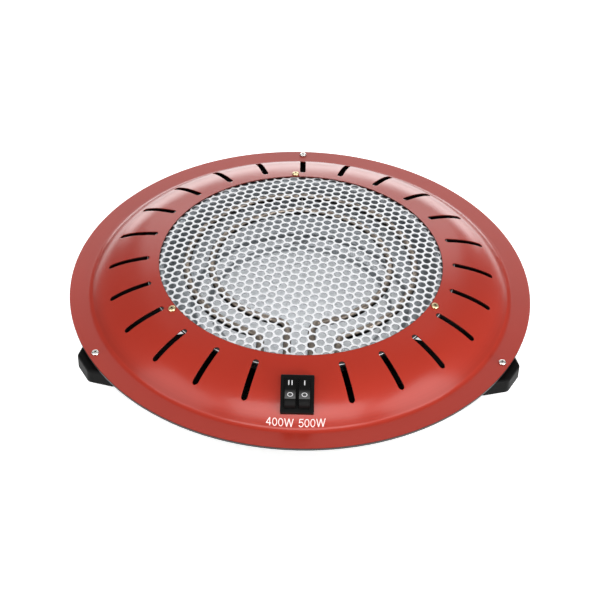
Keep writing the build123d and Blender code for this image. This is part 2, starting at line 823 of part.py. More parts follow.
def switch_housing():
    half_x = bezel_width / 2
    half_y = bezel_length / 2
    bezel = Pos(0, 0, bezel_height - 6.0) * extrude(Rectangle(bezel_width, bezel_length), 6.0)
    sides = bezel.edges().filter_by(Axis.Z)
    bezel = fillet(sides, bezel_round)
    rim = [e for e in bezel.edges() if e.center().Z > bezel_height - 0.01]
    bezel = chamfer(rim, 0.5)
    bezel = (switch_plane * bezel) - cover_body()
    body = box_at(switch_plane, -body_width / 2, body_width / 2, -body_length / 2, body_length / 2,
                  -body_depth, bezel_height - 0.6)
    lug_top = -cover_sheet - snap_lug_gap
    lugs = box_at(switch_plane, -body_width / 2 - snap_lug_reach, body_width / 2 + snap_lug_reach,
                  -snap_lug_width / 2, snap_lug_width / 2, lug_top - snap_lug_height, lug_top)
    shell = bezel + body + lugs
    floor = -body_depth + cell_floor
    tools = []
    for side in (-1, 1):
        pivot = rocker_plane(side, 0)
        half = rocker_width / 2 + rocker_side_clearance
        barrel = Plane(pivot.origin, x_dir=pivot.y_dir, z_dir=pivot.x_dir)
        cell = cylinder_at(barrel, rocker_arc_radius + rocker_mouth_clearance, -half, half)
        below = box_at(switch_plane, rocker_x(side) - half, rocker_x(side) + half, -half_y * 2, half_y * 2,
                       -body_depth * 2, floor)
        tools.append(cell - below)
        left = rocker_x(side) - half
        right = rocker_x(side) + half
        tools.append(box_at(switch_plane, left, right, -bar_room_y, bar_room_y,
                            floor, floor + bar_room_height))
        reach = rocker_width / 2 + pivot_length + 0.15
        tools.append(cylinder_at(barrel, pivot_radius + pivot_clearance, -reach, reach))
        for y in (0.0, contact_y):
            tools.append(box_at(switch_plane, rocker_x(side) - tab_width / 2 - clearance,
                                rocker_x(side) + tab_width / 2 + clearance,
                                y - tab_thickness / 2 - clearance, y + tab_thickness / 2 + clearance,
                                -body_depth - 1, floor + 1))
    return shell - tools


bar_height = -body_depth + cell_floor + bar_pivot_above_floor


def contact_bar(side):
    spot = switch_plane.from_local_coords(Vector(rocker_x(side), 0, bar_height))
    a = math.radians(bar_tilt)
    out = switch_plane.z_dir * math.cos(a) - switch_plane.y_dir * math.sin(a)
    frame = Plane(spot, x_dir=switch_plane.x_dir, z_dir=out)
    bar = box_at(frame, -bar_width / 2, bar_width / 2, -bar_half_length, bar_half_length,
                 -bar_thickness / 2, bar_thickness / 2)
    spot = frame.from_local_coords(Vector(0, contact_y + button_inset, 0))
    below = Plane(spot, x_dir=frame.x_dir, z_dir=frame.z_dir)
    button = cylinder_at(below, button_radius, -bar_thickness / 2 - button_height, 0.0)
    hinge = Plane(frame.origin, x_dir=frame.y_dir, z_dir=frame.x_dir)
    knuckle = cylinder_at(hinge, bar_knuckle_radius, -bar_width / 2, bar_width / 2)
    knuckle -= box_at(frame, -bar_width, bar_width, -2, 2, 0.0, 2.0)
    return bar + button + knuckle


def switch_tabs():
    """Fulcrum tab and contact tab of each rocker."""
    floor = -body_depth + cell_floor
    fulcrum_top = bar_height - bar_knuckle_radius - clearance
    drop = (bar_half_length - button_inset) * math.sin(math.radians(bar_tilt))
    contact_top = bar_height - drop - bar_thickness / 2 - contact_gap
    tabs = []
    for side in (-1, 1):
        for y, top in ((0.0, fulcrum_top), (contact_y, floor + tab_thickness / 4)):
            tab = box_at(switch_plane, rocker_x(side) - tab_width / 2, rocker_x(side) + tab_width / 2,
                         y - tab_thickness / 2, y + tab_thickness / 2, -body_depth - tab_length, top)
            if y == contact_y:
                left = rocker_x(side) - contact_width / 2
                tab += box_at(switch_plane, left, left + contact_width,
                              y - tab_thickness / 2, y + contact_reach, floor + clearance, contact_top)
            tabs.append(tab)
    return tabs


# Thermal cut-out

def cutout_frame():
    return wall_plane(cutout_angle, cutout_height)


def thermal_cutout():
    frame = cutout_frame()
    base = reflector_sheet + cutout_stand_off
    body = cylinder_at(frame, cutout_body_radius, base - 0.4, base + cutout_body_length)
    ears = box_at(frame, -cutout_ear_length / 2, cutout_ear_length / 2, -cutout_ear_width / 2,
                  cutout_ear_width / 2, base, base + cutout_ear_sheet)
    hole_radius = rivet_radius + screw_hole_clearance
    holes = [cylinder_at(plane, hole_radius, -3, 5) for plane in cutout_rivet_planes()]
    return (body + ears) - holes


def cutout_tabs():
    frame = cutout_frame()
    low = reflector_sheet + cutout_stand_off + cutout_body_length
    return [box_at(frame, side * cutout_tab_spacing / 2 - 0.4, side * cutout_tab_spacing / 2 + 0.4,
                   -cutout_tab_width / 2, cutout_tab_width / 2, low, low + tab_length) for side in (-1, 1)]


def cutout_rivets():
    grip = reflector_sheet + cutout_stand_off + cutout_rivet_room
    return [rivet(plane, grip) for plane in cutout_rivet_planes()]


# Terminal block, earth stud and cord bush

def block_plane():
    return Plane(polar(block_radius, block_angle, pan_floor_height + pan_sheet),
                 x_dir=polar(1.0, block_angle + 90))


def earth_plane():
    return Plane(polar(earth_radius, earth_angle, pan_floor_height + pan_sheet),
                 x_dir=polar(1.0, earth_angle + 90))


def bush_plane():
    return Plane(polar(pan_radius, bush_angle, bush_height), x_dir=polar(1.0, bush_angle + 90),
                 z_dir=polar(1.0, bush_angle))


def pole_plane(pole):
    """Frame on the axis of one pole's barrel, its z across the block."""
    frame = block_plane()
    spot = frame.from_local_coords(Vector(pole * pole_spacing, 0, pole_height))
    return Plane(spot, x_dir=frame.x_dir, z_dir=frame.y_dir)


def pole_wells():
    frame = block_plane()
    wells = []
    for pole in (-1, 0, 1):
        for y in (-block_width / 4, block_width / 4):
            wells.append(Plane(frame.from_local_coords(Vector(pole * pole_spacing, y, 0)), x_dir=frame.x_dir))
    return wells


def terminal_block():
    frame = block_plane()
    block = box_at(frame, -block_length / 2, block_length / 2, -block_width / 2, block_width / 2,
                   clearance, block_height)
    tools = [cylinder_at(pole_plane(pole), pole_radius + clearance, -block_width, block_width)
             for pole in (-1, 0, 1)]
    top = block_height + 1
    well_radius = pole_screw_radius + pole_well_room
    tools += [cylinder_at(well, well_radius, pole_height, top) for well in pole_wells()]
    tools.append(cylinder_at(block_fixing_plane(), grille_screw_shank_radius + clearance, -1, top))
    return block - tools


def pole_barrels():
    barrels = []
    wells = pole_wells()
    for i, pole in enumerate((-1, 0, 1)):
        barrel = cylinder_at(pole_plane(pole), pole_radius, -block_width / 2 + 0.8, block_width / 2 - 0.8)
        tools = [cylinder_at(pole_plane(pole), pole_bore_radius, -block_width, block_width)]
        tools += [cylinder_at(well, pole_screw_radius + clearance, pole_height, block_height)
                  for well in wells[2 * i:2 * i + 2]]
        barrels.append(barrel - tools)
    return barrels


def pole_screws():
    screws = []
    for well in pole_wells():
        top = block_height - pole_screw_sunk
        pin = cylinder_at(well, pole_screw_radius, pole_height + wire_radius + clearance, top)
        slit = box_at(well, -pole_screw_radius, pole_screw_radius, -pole_slit_width / 2, pole_slit_width / 2,
                      top - pole_slit_depth, top + 1)
        screws.append(pin - slit)
    return screws


def block_fixing_plane():
    frame = block_plane()
    return Plane(frame.from_local_coords(Vector(block_screw_offset, 0, 0)), x_dir=frame.x_dir)


def cord_bush():
    frame = bush_plane()
    collar_top = -pan_sheet - bush_collar_room
    bush = cylinder_at(frame, bush_radius, collar_top, clearance)
    bush += cylinder_at(frame, bush_flange_radius, clearance, clearance + bush_flange)
    bush += cylinder_at(frame, bush_collar_radius, collar_top - bush_collar, collar_top)
    return bush - cylinder_at(frame, bush_bore_radius, -10, 10)


def block_screw():
    frame = block_fixing_plane()
    top = Plane(frame.origin + frame.z_dir * block_height, x_dir=frame.x_dir)
    return screw(top, grille_screw_head_radius, grille_screw_head_height, grille_screw_shank_radius,
                 block_screw_length)


def block_nut():
    return nut(block_fixing_plane(), small_nut_flats, small_nut_height, grille_screw_shank_radius + clearance,
               -pan_sheet - clearance)


def earth_screw():
    under = earth_plane().origin - Vector(0, 0, pan_sheet)
    return screw(Plane(under, z_dir=(0, 0, -1)), earth_head_radius, earth_head_height, earth_screw_radius,
                 earth_length)


def earth_nut():
    top = 2 * clearance + ring_thickness + earth_nut_height
    return nut(earth_plane(), earth_nut_flats, earth_nut_height, earth_screw_radius + clearance, top)


# Leads

def stud_rings(loop, side):
    """How many ring tags sit on one stud."""
    return 2 if (loop, side) == (loop_radius_500w, -1) else 1


def stud_nuts():
    nuts = []
    for (loop, side), frame in leg_frames().items():
        low = bead_length + stud_rings(loop, side) * (ring_thickness + clearance) + clearance
        top = low + small_nut_height
        nuts.append(nut(frame, small_nut_flats, small_nut_height, stud_radius + clearance, top))
    return nuts


def lead_run(points):
    """Round lead through the points, its corners rounded."""
    path = FilletPolyline(*points, radius=lead_bend)
    section = Plane(path @ 0, z_dir=path % 0) * Circle(lead_radius)
    return sweep(section, path=path.wire())


def ring_tag(frame, direction, low, bore_radius):
    """Ring tag on a stud and the barrel beside it; returns the piece and the lead's first two points."""
    ring = cylinder_at(frame, ring_radius_outer + bore_radius - stud_radius, low, low + ring_thickness)
    out = frame.x_dir * direction[0] + frame.y_dir * direction[1]
    start = frame.origin + frame.z_dir * (low + ring_thickness / 2)
    reach = ring_radius_outer + bore_radius - stud_radius
    neck = Plane(start, x_dir=frame.z_dir, z_dir=out)
    strip = box_at(neck, -ring_thickness / 2, ring_thickness / 2, -ring_neck_width / 2, ring_neck_width / 2,
                   bore_radius, reach + ring_neck_length)
    hole = cylinder_at(frame, bore_radius + clearance, low - 1, low + ring_thickness + 1)
    first = start + out * (reach + ring_lead_start)
    return (ring + strip) - hole, [first, first + out * ring_lead_run]


def connector(frame, x, y, top, bottom, width, thickness):
    """Push-on connector around a tab that stands below the frame's plane."""
    gap = clearance
    half_x = width / 2 + connector_margin
    half_y = thickness / 2 + connector_margin
    body = box_at(frame, x - half_x, x + half_x, y - half_y, y + half_y, bottom - connector_crimp, top)
    pocket = box_at(frame, x - width / 2 - gap, x + width / 2 + gap, y - thickness / 2 - gap,
                    y + thickness / 2 + gap, bottom - gap, top + 1)
    return body - pocket


def switch_connector(side, y):
    top = -body_depth - connector_gap
    return connector(switch_plane, rocker_x(side), y, top, -body_depth - tab_length, tab_width, tab_thickness)


def below_switch(side, y, shift, depth):
    return switch_plane.from_local_coords(Vector(rocker_x(side) + shift, y, -body_depth - tab_length - depth))


def cutout_out_plane():
    """Frame whose plane lies at the cut-out's cap, with its z towards the wall."""
    frame = cutout_frame()
    low = reflector_sheet + cutout_stand_off + cutout_body_length
    return Plane(frame.origin + frame.z_dir * low, x_dir=frame.x_dir, z_dir=-frame.z_dir)


def cutout_connector(side):
    frame = cutout_out_plane()
    return connector(frame, side * cutout_tab_spacing / 2, 0.0, -connector_gap, -tab_length, 0.8,
                     cutout_tab_width)


def off_cutout(side, depth):
    return cutout_out_plane().from_local_coords(Vector(side * cutout_tab_spacing / 2, 0, -tab_length - depth))


def off_block(pole, reach):
    return pole_plane(pole).from_local_coords(Vector(0, 0, block_width / 2 + reach))


def block_wire(pole):
    """Bare end of a lead inside its pole's barrel."""
    return cylinder_at(pole_plane(pole), wire_radius, -block_width / 2 + 1.0, block_width / 2 + 1.5)


def lead_live():
    path = [off_block(0, 0.3), off_block(0, 8.0), Vector(-24, -97, 14), Vector(20, -98, 14),
            Vector(62, -88, 14), Vector(91, -96, 21), off_cutout(1, 6.0), off_cutout(1, 1.0)]
    return lead_run(path) + block_wire(0) + cutout_connector(1)


def lead_feed():
    """Lead from the cut-out to the switch, and the link between the switch's two feed tabs."""
    feed = [off_cutout(-1, 1.0), off_cutout(-1, 7.5), Vector(58, -122, 22), Vector(30, -139, 20),
            Vector(10, -137, 20), below_switch(1, 0.0, 1.5, 8.0), below_switch(1, 0.0, 1.5, 1.0)]
    link = [below_switch(1, 0.0, -1.5, 1.0), below_switch(1, 0.0, -1.5, 7.0),
            below_switch(-1, 0.0, 0.0, 7.0), below_switch(-1, 0.0, 0.0, 1.0)]
    return lead_run(feed) + lead_run(link) + cutout_connector(-1) + switch_connector(1, 0.0) + \
        switch_connector(-1, 0.0)


def lead_400w():
    frame = leg_frames()[(loop_radius_400w, -1)]
    tag, start = ring_tag(frame, (0, -1), bead_length + clearance, stud_radius)
    path = start + [Vector(-12, -125, 36), Vector(-16, -136, 30), below_switch(-1, contact_y, 0, 8.0),
                    below_switch(-1, contact_y, 0, 1.0)]
    return lead_run(path) + tag + switch_connector(-1, contact_y)


def lead_500w():
    frame = leg_frames()[(loop_radius_500w, 1)]
    tag, start = ring_tag(frame, (0, -1), bead_length + clearance, stud_radius)
    path = start + [Vector(29, -126, 36), Vector(17, -138, 30), below_switch(1, contact_y, 0, 8.0),
                    below_switch(1, contact_y, 0, 1.0)]
    return lead_run(path) + tag + switch_connector(1, contact_y)


def lead_return():
    frame = leg_frames()[(loop_radius_500w, -1)]
    tag, start = ring_tag(frame, (0, -1), bead_length + clearance, stud_radius)
    path = start + [Vector(-31, -113, 30), Vector(-40, -101, 20), off_block(-1, 7.5), off_block(-1, 0.3)]
    return lead_run(path) + tag + block_wire(-1)


def lead_link():
    """Lead between the two elements' return studs."""
    low = bead_length + ring_thickness + 2 * clearance
    first = leg_frames()[(loop_radius_500w, -1)]
    second = leg_frames()[(loop_radius_400w, 1)]
    one, start = ring_tag(first, (1, 0), low, stud_radius)
    two, finish = ring_tag(second, (0, -1), bead_length + clearance, stud_radius)
    path = start + [Vector(-15, -128, 50), Vector(2, -128, 44)] + finish[::-1]
    return lead_run(path) + one + two


def lead_earth():
    tag, start = ring_tag(earth_plane(), (-0.7, 0.7), clearance, earth_screw_radius)
    lift = Vector(0, 0, 0.75)
    path = [spot + lift for spot in start] + [Vector(-20, -110, 12), off_block(1, 8.5), off_block(1, 0.3)]
    return lead_run(path) + tag + block_wire(1)


# Export

def save(name, *pieces):
    """Write one sub-part, moved so that the middle of the whole heater's box is the origin."""
    solids = [Pos(0, -middle_y, 0) * solid for piece in pieces for solid in piece.solids()]
    whole = Compound(children=solids) if len(solids) > 1 else solids[0]
    export_step(whole, f"parts/{name}.step")


middle_y = (foot_centre_radius + foot_apothem - rim_radius) / 2

save("top_cover", top_cover())
save("grille", grille())
save("reflector", reflector())
save("base_pan", base_pan())
save("heating_element_400w", element(loop_radius_400w, leg_offset_400w))
save("heating_element_500w", element(loop_radius_500w, leg_offset_500w))
save("element_beads", *element_beads(loop_radius_400w), *element_beads(loop_radius_500w))
save("element_studs", *element_studs(loop_radius_400w), *element_studs(loop_radius_500w))
save("stud_nuts", *stud_nuts())
save("leg_plate", leg_plate())
save("leg_plate_rivets", *leg_rivets())
save("element_support", saddle())
save("support_rivets", *saddle_rivets())
save("foot_back", foot(rim_screw_angles[0]))
save("foot_front_left", foot(rim_screw_angles[1]))
save("foot_front_right", foot(rim_screw_angles[2]))
save("rim_screws", *rim_screws())
save("grille_screws", *grille_screws())
save("grille_nuts", *grille_nuts())
save("switch_housing", switch_housing())
save("rocker_400w", rocker(-1))
save("rocker_500w", rocker(1))
save("contact_bar_400w", contact_bar(-1))
save("contact_bar_500w", contact_bar(1))
save("switch_terminals", *switch_tabs())
save("thermal_cutout", thermal_cutout())
save("cutout_terminals", *cutout_tabs())
save("cutout_rivets", *cutout_rivets())
save("terminal_block", terminal_block())
save("terminal_barrels", *pole_barrels())
save("terminal_screws", *pole_screws())
save("terminal_block_screw", block_screw())
save("terminal_block_nut", block_nut())
save("cord_bush", cord_bush())
save("earth_screw", earth_screw())
save("earth_nut", earth_nut())
save("lead_live", lead_live())
save("lead_feed", lead_feed())
save("lead_400w", lead_400w())
save("lead_500w", lead_500w())
save("lead_return", lead_return())
save("lead_link", lead_link())
save("lead_earth", lead_earth())
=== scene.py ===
import bpy
import bmesh
import json
import math
from mathutils import Matrix, Vector
from mathutils.geometry import delaunay_2d_cdt

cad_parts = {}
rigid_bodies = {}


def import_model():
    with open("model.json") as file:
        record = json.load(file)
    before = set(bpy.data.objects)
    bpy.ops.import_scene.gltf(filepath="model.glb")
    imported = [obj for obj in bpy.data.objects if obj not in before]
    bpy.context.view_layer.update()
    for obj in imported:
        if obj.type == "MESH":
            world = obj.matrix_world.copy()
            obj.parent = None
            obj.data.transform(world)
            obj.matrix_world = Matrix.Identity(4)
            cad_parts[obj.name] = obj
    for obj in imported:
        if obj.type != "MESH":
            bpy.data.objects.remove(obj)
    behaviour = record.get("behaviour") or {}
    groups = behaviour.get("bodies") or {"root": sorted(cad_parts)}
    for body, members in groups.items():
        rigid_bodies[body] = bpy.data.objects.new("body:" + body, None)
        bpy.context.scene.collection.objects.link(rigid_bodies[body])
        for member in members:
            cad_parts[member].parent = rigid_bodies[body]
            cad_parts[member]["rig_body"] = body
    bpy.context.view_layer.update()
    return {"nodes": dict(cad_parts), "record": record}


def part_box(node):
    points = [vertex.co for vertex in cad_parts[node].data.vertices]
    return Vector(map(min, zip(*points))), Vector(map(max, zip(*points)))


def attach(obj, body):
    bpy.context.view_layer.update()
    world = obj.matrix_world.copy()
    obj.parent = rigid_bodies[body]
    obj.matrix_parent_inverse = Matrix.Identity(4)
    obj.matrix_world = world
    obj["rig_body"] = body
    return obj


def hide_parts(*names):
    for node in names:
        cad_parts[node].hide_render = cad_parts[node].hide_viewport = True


# Sizes shared with the CAD model, in metres
rim_radius = 0.195
rim_width = 0.018
rim_top = 0.045
cover_sheet = 0.0008
open_radius = 0.119
dome_rise = 0.026
shoulder = 0.45
shoulder_power = 3.45
fold_round = 0.007
edge_round = 0.00025
slot_places = 24
slot_inner_radius = 0.1276
slot_outer_radius = 0.1625
slot_width = 0.005
switch_radius = 0.1537
switch_offset = -0.00065
body_width = 0.0233
body_length = 0.0290
rocker_spacing = 0.0110
rocker_throw = math.radians(16.0)
rocker_middle_height = 0.0077
rocker_end_y = 0.01017
rocker_end_height = 0.00841
pivot_height = -0.0015

# Reflector, in metres
reflector_floor = 0.0206
reflector_sheet = 0.0006
disc_radius = 0.0755
step_rise = 0.003
ring_radius = 0.0905
wall_foot_radius = 0.094
wall_foot_rise = 0.0045
wall_head_radius = 0.1172
flange_radius = 0.130
flange_drop = 0.00243
grille_cap_radius = 0.1258

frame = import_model()
nodes = frame["nodes"]
scene = bpy.context.scene
cover_low, cover_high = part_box("top_cover")
middle_y = (cover_low.y + cover_high.y) / 2
fold_radius = rim_radius - rim_width


def dome_top(radius):
    """Height of the dome's top face at a radius from the middle of the rim."""
    t = max(0.0, (radius - open_radius) / (fold_radius - open_radius))
    return rim_top + dome_rise * (1 - shoulder * t - (1 - shoulder) * t**shoulder_power)


def dome_slope(radius):
    t = max(0.0, (radius - open_radius) / (fold_radius - open_radius))
    fall = shoulder + (1 - shoulder) * shoulder_power * t**(shoulder_power - 1)
    return math.atan(fall * dome_rise / (fold_radius - open_radius))


def find_fold():
    """Radius at which the rounded fold leaves the dome."""
    low = open_radius
    high = fold_radius
    for _ in range(40):
        middle = (low + high) / 2
        if dome_top(middle) + fold_round * math.cos(dome_slope(middle)) > rim_top + fold_round:
            low = middle
        else:
            high = middle
    return low


fold_start = find_fold()
fold_end = fold_start + fold_round * math.sin(dome_slope(fold_start))


def cover_top(radius):
    """Height of the cover's top face: dome, rounded fold and flat rim."""
    if radius < fold_start:
        return dome_top(radius)
    if radius < fold_end:
        return rim_top + fold_round - math.sqrt(fold_round**2 - (fold_end - radius)**2)
    return rim_top


def place_camera():
    """Camera of the photograph: it looks down at the rim from the front, a little rolled."""
    elevation = math.radians(39.75)
    azimuth = math.radians(-0.20)
    roll = math.radians(1.51)
    distance = 6.786 * rim_radius
    aim = Vector((math.sin(azimuth) * math.cos(elevation),
                  -math.cos(azimuth) * math.cos(elevation), math.sin(elevation)))
    right = (-aim).cross(Vector((0, 0, 1))).normalized()
    up = right.cross(-aim).normalized()
    side = right * math.cos(roll) + up * math.sin(roll)
    top = up * math.cos(roll) - right * math.sin(roll)
    turn = Matrix((side, top, aim)).transposed().to_4x4()
    data = bpy.data.cameras.new("camera")
    data.sensor_width = 36.0
    data.lens = 93.204
    data.shift_x = -0.00067
    data.shift_y = -0.0280
    data.clip_start = 0.05
    data.clip_end = 30.0
    camera = bpy.data.objects.new("camera", data)
    camera.matrix_world = Matrix.Translation(Vector((0, middle_y, rim_top)) + aim * distance) @ turn
    scene.collection.objects.link(camera)
    scene.camera = camera


place_camera()


# Materials

def new_material(name, color, roughness, metallic=0.0, coat=0.0, coat_roughness=0.1, specular=0.5):
    material = bpy.data.materials.new(name)
    material.use_nodes = True
    shader = material.node_tree.nodes["Principled BSDF"]
    shader.inputs["Base Color"].default_value = (*color, 1.0)
    shader.inputs["Roughness"].default_value = roughness
    shader.inputs["Metallic"].default_value = metallic
    shader.inputs["Coat Weight"].default_value = coat
    shader.inputs["Coat Roughness"].default_value = coat_roughness
    shader.inputs["Specular IOR Level"].default_value = specular
    return material, shader


def add_node(material, kind, **settings):
    node = material.node_tree.nodes.new(kind)
    for key, value in settings.items():
        if key in node.inputs:
            node.inputs[key].default_value = value
        else:
            setattr(node, key, value)
    return node


def object_noise(material, scale, detail=4.0, roughness=0.5, stretch=(1.0, 1.0, 1.0)):
    """Noise over the object's own coordinates, in features per metre."""
    coords = add_node(material, "ShaderNodeTexCoord")
    mapping = add_node(material, "ShaderNodeMapping")
    mapping.inputs["Scale"].default_value = stretch
    noise = add_node(material, "ShaderNodeTexNoise")
    noise.inputs["Scale"].default_value = scale
    noise.inputs["Detail"].default_value = detail
    noise.inputs["Roughness"].default_value = roughness
    links = material.node_tree.links
    links.new(coords.outputs["Object"], mapping.inputs["Vector"])
    links.new(mapping.outputs["Vector"], noise.inputs["Vector"])
    return noise.outputs["Fac"]


def color_between(material, factor, low, high, start=0.3, end=0.7):
    ramp = add_node(material, "ShaderNodeValToRGB")
    ramp.color_ramp.elements[0].position = start
    ramp.color_ramp.elements[0].color = (*low, 1.0)
    ramp.color_ramp.elements[1].position = end
    ramp.color_ramp.elements[1].color = (*high, 1.0)
    material.node_tree.links.new(factor, ramp.inputs["Fac"])
    return ramp.outputs["Color"]


def value_between(material, factor, low, high, start=0.3, end=0.7):
    scale = add_node(material, "ShaderNodeMapRange")
    scale.inputs["From Min"].default_value = start
    scale.inputs["From Max"].default_value = end
    scale.inputs["To Min"].default_value = low
    scale.inputs["To Max"].default_value = high
    material.node_tree.links.new(factor, scale.inputs["Value"])
    return scale.outputs["Result"]


def add_bump(material, shader, height, strength, distance):
    bump = add_node(material, "ShaderNodeBump")
    bump.inputs["Strength"].default_value = strength
    bump.inputs["Distance"].default_value = distance
    links = material.node_tree.links
    links.new(height, bump.inputs["Height"])
    links.new(bump.outputs["Normal"], shader.inputs["Normal"])
    return bump


def axis_distance(material):
    """Distance from the heater's axis, in metres."""
    links = material.node_tree.links
    coords = add_node(material, "ShaderNodeTexCoord")
    shift = add_node(material, "ShaderNodeVectorMath", operation="ADD")
    shift.inputs[1].default_value = (0.0, -middle_y, 0.0)
    flat = add_node(material, "ShaderNodeVectorMath", operation="MULTIPLY")
    flat.inputs[1].default_value = (1.0, 1.0, 0.0)
    size = add_node(material, "ShaderNodeVectorMath", operation="LENGTH")
    links.new(coords.outputs["Object"], shift.inputs[0])
    links.new(shift.outputs[0], flat.inputs[0])
    links.new(flat.outputs[0], size.inputs[0])
    return size.outputs["Value"]


def ring_lines(material, pitch):
    """Wave along the radius about the heater's axis, as a spinning tool leaves."""
    links = material.node_tree.links
    wave = add_node(material, "ShaderNodeMath", operation="MULTIPLY")
    wave.inputs[1].default_value = 2 * math.pi / pitch
    sine = add_node(material, "ShaderNodeMath", operation="SINE")
    links.new(axis_distance(material), wave.inputs[0])
    links.new(wave.outputs[0], sine.inputs[0])
    return sine.outputs[0]


def mix_colors(material, factor, first, second):
    """First colour where the factor is 0, second where it is 1; either may be a socket."""
    mix = add_node(material, "ShaderNodeMix", data_type="RGBA")
    links = material.node_tree.links
    links.new(factor, mix.inputs[0])
    for socket, color in ((mix.inputs[6], first), (mix.inputs[7], second)):
        if isinstance(color, tuple):
            socket.default_value = (*color, 1.0)
        else:
            links.new(color, socket)
    return mix.outputs[2]


def upward(material, start, end):
    """0 on walls, 1 on faces that look up or down."""
    links = material.node_tree.links
    geometry = add_node(material, "ShaderNodeNewGeometry")
    parts = add_node(material, "ShaderNodeSeparateXYZ")
    size = add_node(material, "ShaderNodeMath", operation="ABSOLUTE")
    links.new(geometry.outputs["True Normal"], parts.inputs[0])
    links.new(parts.outputs["Z"], size.inputs[0])
    return value_between(material, size.outputs[0], 0.0, 1.0, start, end)


def top_side(material, start, end):
    """0 on faces that look down or sideways, 1 on faces that look up."""
    geometry = add_node(material, "ShaderNodeNewGeometry")
    parts = add_node(material, "ShaderNodeSeparateXYZ")
    material.node_tree.links.new(geometry.outputs["Normal"], parts.inputs[0])
    return value_between(material, parts.outputs["Z"], 0.0, 1.0, start, end)


def recess_shade(material, shade, depth):
    """Painted shade: darken a colour where the shape is closed in, as in a screw's cross."""
    hollow = add_node(material, "ShaderNodeAmbientOcclusion", samples=16)
    hollow.inputs["Distance"].default_value = depth
    open_share = value_between(material, hollow.outputs["AO"], 0.0, 1.0, 0.45, 0.85)
    return mix_colors(material, open_share, (0.02, 0.02, 0.02), shade)


def paint_material():
    """Satin red enamel over pressed steel: a faint orange peel, slight shifts of tone and matt edges;
    painted shade darkens the sheet's walls, and a painted shadow line runs along the opening.
    """
    material, shader = new_material("cover_paint", (0.330, 0.0243, 0.0124), 0.34, coat=1.0,
                                    coat_roughness=0.20, specular=0.1)
    links = material.node_tree.links
    shader.inputs["Coat IOR"].default_value = 1.35
    tone = object_noise(material, 14.0, 3.0)
    shade = color_between(material, tone, (0.317, 0.0232, 0.0118), (0.344, 0.0255, 0.0130))
    # Painted shadow: a thin dark line on the top face along the opening's edge.
    edge = value_between(material, axis_distance(material), 0.0, 1.0,
                         open_radius + 0.0001, open_radius + 0.0005)
    shade = mix_colors(material, edge, (0.060, 0.010, 0.008), shade)
    # Painted shade: the sheet's walls, at slots, cut edges and the rim's edge, are darker than its faces.
    face = upward(material, 0.40, 0.80)
    shade = mix_colors(material, face, (0.090, 0.010, 0.007), shade)
    links.new(shade, shader.inputs["Base Color"])
    links.new(face, shader.inputs["Coat Weight"])
    rough = add_node(material, "ShaderNodeMath", operation="MAXIMUM")
    links.new(value_between(material, object_noise(material, 60.0, 5.0), 0.31, 0.38), rough.inputs[0])
    links.new(value_between(material, face, 0.9, 0.0, 0.0, 1.0), rough.inputs[1])
    links.new(rough.outputs[0], shader.inputs["Roughness"])
    add_bump(material, shader, object_noise(material, 900.0, 2.0), 0.05, 0.0002)
    return material


def grille_material():
    """Silvered sheet with painted shade on the walls of its punched holes; the flange under the cover
    carries a painted shadow, up to its bright outer edge.
    """
    material, shader = new_material("grille_silver", (0.87, 0.88, 0.90), 0.45, metallic=0.2)
    tone = object_noise(material, 120.0, 4.0)
    shade = color_between(material, tone, (0.745, 0.755, 0.775), (0.805, 0.815, 0.835))
    # Painted shade: the walls of the holes are darker than the faces.
    shade = mix_colors(material, upward(material, 0.5, 0.8), (0.36, 0.37, 0.39), shade)
    distance = axis_distance(material)
    # Painted shadow on the flange under the cover, past the cap.
    under = value_between(material, distance, 0.0, 1.0, grille_cap_radius, grille_cap_radius + 0.0006)
    shade = mix_colors(material, under, shade, (0.03, 0.03, 0.03))
    # The painted shadow stops at the flange's outer edge, which is left bright silver.
    lip = value_between(material, distance, 0.0, 1.0, 0.1293, 0.1295)
    shade = mix_colors(material, lip, shade, (0.85, 0.86, 0.88))
    material.node_tree.links.new(shade, shader.inputs["Base Color"])
    rough = value_between(material, object_noise(material, 400.0, 3.0), 0.40, 0.52)
    material.node_tree.links.new(rough, shader.inputs["Roughness"])
    return material


def reflector_material():
    """Pale stand-in for bright spun aluminium, with the fine rings of its spinning.

    The dark bands by radius are painted reflections, for what a bright dish mirrors at its bends and up
    its wall; past the wall's head the flange under the cover is painted nearly black, as shadow.
    """
    material, shader = new_material("reflector_bright", (0.95, 0.97, 1.0), 0.28, metallic=0.12)
    tone = object_noise(material, 30.0, 4.0)
    shade = color_between(material, tone, (0.92, 0.95, 0.99), (0.95, 0.975, 1.0))
    painted_reflection_ramp = add_node(material, "ShaderNodeValToRGB")
    ramp = painted_reflection_ramp.color_ramp
    # Radius and brightness of each band: painted reflections at the bends and up the wall, painted shadow
    # on the flange under the cover.
    stops = [
        (0.0742, 1.0), (0.0755, 0.26), (0.0785, 0.26), (0.0800, 1.0), (0.0885, 1.0), (0.0900, 0.24),
        (0.0935, 0.24), (0.0950, 0.85), (0.1010, 0.55), (0.1080, 0.20), (0.1150, 0.20), (0.1160, 0.60),
        (0.1172, 0.60), (0.1185, 0.03)
    ]
    ramp.elements.remove(ramp.elements[1])
    for i, (radius, level) in enumerate(stops):
        stop = ramp.elements[0] if i == 0 else ramp.elements.new(radius / flange_radius)
        stop.position = radius / flange_radius
        stop.color = (level * (0.88 + 0.12 * level), level * (0.95 + 0.05 * level), level, 1.0)
    links = material.node_tree.links
    share = value_between(material, axis_distance(material), 0.0, 1.0, 0.0, flange_radius)
    links.new(share, painted_reflection_ramp.inputs["Fac"])
    tint = add_node(material, "ShaderNodeMix", data_type="RGBA", blend_type="MULTIPLY")
    tint.inputs[0].default_value = 1.0
    links.new(shade, tint.inputs[6])
    links.new(painted_reflection_ramp.outputs["Color"], tint.inputs[7])
    links.new(tint.outputs[2], shader.inputs["Base Color"])
    rough = value_between(material, object_noise(material, 220.0, 4.0), 0.26, 0.36)
    links.new(rough, shader.inputs["Roughness"])
    add_bump(material, shader, ring_lines(material, 0.0011), 0.10, 0.0001)
    return material


